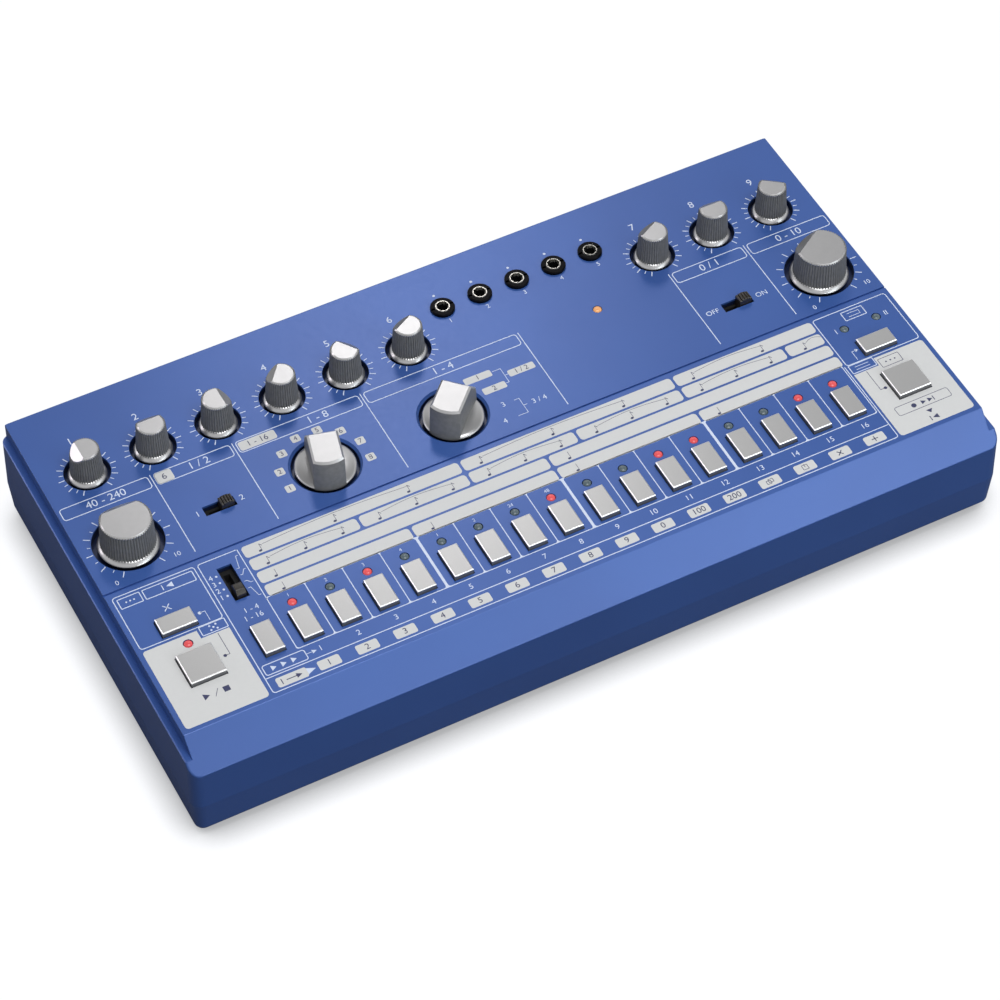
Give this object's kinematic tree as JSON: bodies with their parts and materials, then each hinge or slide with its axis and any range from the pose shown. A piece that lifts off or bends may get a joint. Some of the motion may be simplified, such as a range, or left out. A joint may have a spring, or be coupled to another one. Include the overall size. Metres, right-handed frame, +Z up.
{
  "type": "drum machine",
  "caption": "Flat desktop drum machine with a blue plastic casing, turning level knobs, selector dials, slide switches, step buttons with lights, and sockets on top and at the back.",
  "frame": {"origin": "on the table, at the centre of the bounding box's base", "axes": "+X along the front to the player's right, +Y to the back with its sockets, +Z up out of the printed top face"},
  "size_m": [0.305, 0.165, 0.056],
  "materials": {
    "casing_blue": "fine satin moulding",
    "knob_grey": "ribbed matt grip with a pale cap",
    "button_grey": "smooth satin",
    "slider_black": "matt",
    "board_green": "lacquered laminate",
    "component_black": "matt moulding",
    "screw_steel": "zinc plated",
    "nut_black": "black finish",
    "nickel": "bright plating",
    "light_lens": "tinted lens",
    "foot_rubber": "matt",
    "ribbon_grey": "flat cable"
  },
  "bodies": {
    "case": {"top_shell": "casing_blue", "bottom_shell": "casing_blue", "rubber_feet": "foot_rubber", "case_screws": "screw_steel", "board_screws": "screw_steel", "panel_board": "board_green", "main_board": "board_green", "board_ribbon": "ribbon_grey", "potentiometers": "component_black", "rotary_switches": "component_black", "key_switches": "component_black", "slide_switches": "component_black", "leds": "light_lens", "panel_jacks": "component_black", "voice_jacks": "component_black", "jack_nuts": "nut_black", "output_jack": "component_black", "output_nut": "nickel", "midi_sockets": "component_black", "usb_socket": "nickel", "dc_inlet": "component_black", "power_switch": "component_black"},
    "level_knob_1_body": {"level_knob_1": "knob_grey"},
    "level_knob_2_body": {"level_knob_2": "knob_grey"},
    "level_knob_3_body": {"level_knob_3": "knob_grey"},
    "level_knob_4_body": {"level_knob_4": "knob_grey"},
    "level_knob_5_body": {"level_knob_5": "knob_grey"},
    "level_knob_6_body": {"level_knob_6": "knob_grey"},
    "drive_knob_body": {"drive_knob": "knob_grey"},
    "tone_knob_body": {"tone_knob": "knob_grey"},
    "output_knob_body": {"output_knob": "knob_grey"},
    "tempo_knob_body": {"tempo_knob": "knob_grey"},
    "volume_knob_body": {"volume_knob": "knob_grey"},
    "instrument_selector_body": {"instrument_selector": "knob_grey"},
    "mode_selector_body": {"mode_selector": "knob_grey"},
    "step_button_01_body": {"step_button_01": "button_grey"},
    "step_button_02_body": {"step_button_02": "button_grey"},
    "step_button_03_body": {"step_button_03": "button_grey"},
    "step_button_04_body": {"step_button_04": "button_grey"},
    "step_button_05_body": {"step_button_05": "button_grey"},
    "step_button_06_body": {"step_button_06": "button_grey"},
    "step_button_07_body": {"step_button_07": "button_grey"},
    "step_button_08_body": {"step_button_08": "button_grey"},
    "step_button_09_body": {"step_button_09": "button_grey"},
    "step_button_10_body": {"step_button_10": "button_grey"},
    "step_button_11_body": {"step_button_11": "button_grey"},
    "step_button_12_body": {"step_button_12": "button_grey"},
    "step_button_13_body": {"step_button_13": "button_grey"},
    "step_button_14_body": {"step_button_14": "button_grey"},
    "step_button_15_body": {"step_button_15": "button_grey"},
    "step_button_16_body": {"step_button_16": "button_grey"},
    "function_button_body": {"function_button": "button_grey"},
    "clear_button_body": {"clear_button": "button_grey"},
    "start_button_body": {"start_button": "button_grey"},
    "group_button_body": {"group_button": "button_grey"},
    "tap_button_body": {"tap_button": "button_grey"},
    "voice_slider_body": {"voice_slider": "slider_black"},
    "drive_slider_body": {"drive_slider": "slider_black"},
    "scale_slider_body": {"scale_slider": "slider_black"},
    "power_rocker_body": {"power_rocker": "slider_black"}
  },
  "joints": [
    {"name": "level_knob_1_turn", "type": "hinge", "parent": "case", "child": "level_knob_1_body", "pos_m": [-0.133, 0.043, 0.0438], "axis": [0, 0, 1], "range_deg": [-240, 60]},
    {"name": "level_knob_2_turn", "type": "hinge", "parent": "case", "child": "level_knob_2_body", "pos_m": [-0.10882, 0.043, 0.0438], "axis": [0, 0, 1], "range_deg": [-150, 150]},
    {"name": "level_knob_3_turn", "type": "hinge", "parent": "case", "child": "level_knob_3_body", "pos_m": [-0.08464, 0.043, 0.0438], "axis": [0, 0, 1], "range_deg": [-60, 240]},
    {"name": "level_knob_4_turn", "type": "hinge", "parent": "case", "child": "level_knob_4_body", "pos_m": [-0.06046, 0.043, 0.0438], "axis": [0, 0, 1], "range_deg": [-201, 99]},
    {"name": "level_knob_5_turn", "type": "hinge", "parent": "case", "child": "level_knob_5_body", "pos_m": [-0.03627, 0.043, 0.0438], "axis": [0, 0, 1], "range_deg": [-95, 205]},
    {"name": "level_knob_6_turn", "type": "hinge", "parent": "case", "child": "level_knob_6_body", "pos_m": [-0.01209, 0.043, 0.0438], "axis": [0, 0, 1], "range_deg": [-178, 122]},
    {"name": "drive_knob_turn", "type": "hinge", "parent": "case", "child": "drive_knob_body", "pos_m": [0.08464, 0.043, 0.0438], "axis": [0, 0, 1], "range_deg": [-178, 122]},
    {"name": "tone_knob_turn", "type": "hinge", "parent": "case", "child": "tone_knob_body", "pos_m": [0.10882, 0.043, 0.0438], "axis": [0, 0, 1], "range_deg": [-150, 150]},
    {"name": "output_knob_turn", "type": "hinge", "parent": "case", "child": "output_knob_body", "pos_m": [0.133, 0.043, 0.0438], "axis": [0, 0, 1], "range_deg": [-113, 187]},
    {"name": "tempo_knob_turn", "type": "hinge", "parent": "case", "child": "tempo_knob_body", "pos_m": [-0.133, 0.0089, 0.0438], "axis": [0, 0, 1], "range_deg": [-150, 150]},
    {"name": "volume_knob_turn", "type": "hinge", "parent": "case", "child": "volume_knob_body", "pos_m": [0.133, 0.0089, 0.0438], "axis": [0, 0, 1], "range_deg": [-182, 118]},
    {"name": "instrument_selector_turn", "type": "hinge", "parent": "case", "child": "instrument_selector_body", "pos_m": [-0.06046, 0.0089, 0.0438], "axis": [0, 0, 1], "range_deg": [-90, 120]},
    {"name": "mode_selector_turn", "type": "hinge", "parent": "case", "child": "mode_selector_body", "pos_m": [-0.01209, 0.0089, 0.0438], "axis": [0, 0, 1], "range_deg": [-90, 0]},
    {"name": "step_button_01_press", "type": "slide", "parent": "case", "child": "step_button_01_body", "axis": [0, 0, 1], "range_m": [-0.0006, 0], "stiffness_N_per_m": 800},
    {"name": "step_button_02_press", "type": "slide", "parent": "case", "child": "step_button_02_body", "axis": [0, 0, 1], "range_m": [-0.0006, 0], "stiffness_N_per_m": 800},
    {"name": "step_button_03_press", "type": "slide", "parent": "case", "child": "step_button_03_body", "axis": [0, 0, 1], "range_m": [-0.0006, 0], "stiffness_N_per_m": 800},
    {"name": "step_button_04_press", "type": "slide", "parent": "case", "child": "step_button_04_body", "axis": [0, 0, 1], "range_m": [-0.0006, 0], "stiffness_N_per_m": 800},
    {"name": "step_button_05_press", "type": "slide", "parent": "case", "child": "step_button_05_body", "axis": [0, 0, 1], "range_m": [-0.0006, 0], "stiffness_N_per_m": 800},
    {"name": "step_button_06_press", "type": "slide", "parent": "case", "child": "step_button_06_body", "axis": [0, 0, 1], "range_m": [-0.0006, 0], "stiffness_N_per_m": 800},
    {"name": "step_button_07_press", "type": "slide", "parent": "case", "child": "step_button_07_body", "axis": [0, 0, 1], "range_m": [-0.0006, 0], "stiffness_N_per_m": 800},
    {"name": "step_button_08_press", "type": "slide", "parent": "case", "child": "step_button_08_body", "axis": [0, 0, 1], "range_m": [-0.0006, 0], "stiffness_N_per_m": 800},
    {"name": "step_button_09_press", "type": "slide", "parent": "case", "child": "step_button_09_body", "axis": [0, 0, 1], "range_m": [-0.0006, 0], "stiffness_N_per_m": 800},
    {"name": "step_button_10_press", "type": "slide", "parent": "case", "child": "step_button_10_body", "axis": [0, 0, 1], "range_m": [-0.0006, 0], "stiffness_N_per_m": 800},
    {"name": "step_button_11_press", "type": "slide", "parent": "case", "child": "step_button_11_body", "axis": [0, 0, 1], "range_m": [-0.0006, 0], "stiffness_N_per_m": 800},
    {"name": "step_button_12_press", "type": "slide", "parent": "case", "child": "step_button_12_body", "axis": [0, 0, 1], "range_m": [-0.0006, 0], "stiffness_N_per_m": 800},
    {"name": "step_button_13_press", "type": "slide", "parent": "case", "child": "step_button_13_body", "axis": [0, 0, 1], "range_m": [-0.0006, 0], "stiffness_N_per_m": 800},
    {"name": "step_button_14_press", "type": "slide", "parent": "case", "child": "step_button_14_body", "axis": [0, 0, 1], "range_m": [-0.0006, 0], "stiffness_N_per_m": 800},
    {"name": "step_button_15_press", "type": "slide", "parent": "case", "child": "step_button_15_body", "axis": [0, 0, 1], "range_m": [-0.0006, 0], "stiffness_N_per_m": 800},
    {"name": "step_button_16_press", "type": "slide", "parent": "case", "child": "step_button_16_body", "axis": [0, 0, 1], "range_m": [-0.0006, 0], "stiffness_N_per_m": 800},
    {"name": "function_button_press", "type": "slide", "parent": "case", "child": "function_button_body", "axis": [0, 0, 1], "range_m": [-0.0006, 0], "stiffness_N_per_m": 800},
    {"name": "clear_button_press", "type": "slide", "parent": "case", "child": "clear_button_body", "axis": [0, 0, 1], "range_m": [-0.0006, 0], "stiffness_N_per_m": 800},
    {"name": "start_button_press", "type": "slide", "parent": "case", "child": "start_button_body", "axis": [0, 0, 1], "range_m": [-0.0006, 0], "stiffness_N_per_m": 800},
    {"name": "group_button_press", "type": "slide", "parent": "case", "child": "group_button_body", "axis": [0, 0, 1], "range_m": [-0.0006, 0], "stiffness_N_per_m": 800},
    {"name": "tap_button_press", "type": "slide", "parent": "case", "child": "tap_button_body", "axis": [0, 0, 1], "range_m": [-0.0006, 0], "stiffness_N_per_m": 800},
    {"name": "voice_slider_slide", "type": "slide", "parent": "case", "child": "voice_slider_body", "axis": [1, 0, 0], "range_m": [-0.0049, 0]},
    {"name": "drive_slider_slide", "type": "slide", "parent": "case", "child": "drive_slider_body", "axis": [1, 0, 0], "range_m": [-0.0049, 0]},
    {"name": "scale_slider_slide", "type": "slide", "parent": "case", "child": "scale_slider_body", "axis": [0, 1, 0], "range_m": [0, 0.009]},
    {"name": "power_rocker_tilt", "type": "hinge", "parent": "case", "child": "power_rocker_body", "pos_m": [0.127, 0.0739, 0.0174], "axis": [0, 0, 1], "range_deg": [-16, 0]}
  ]
}
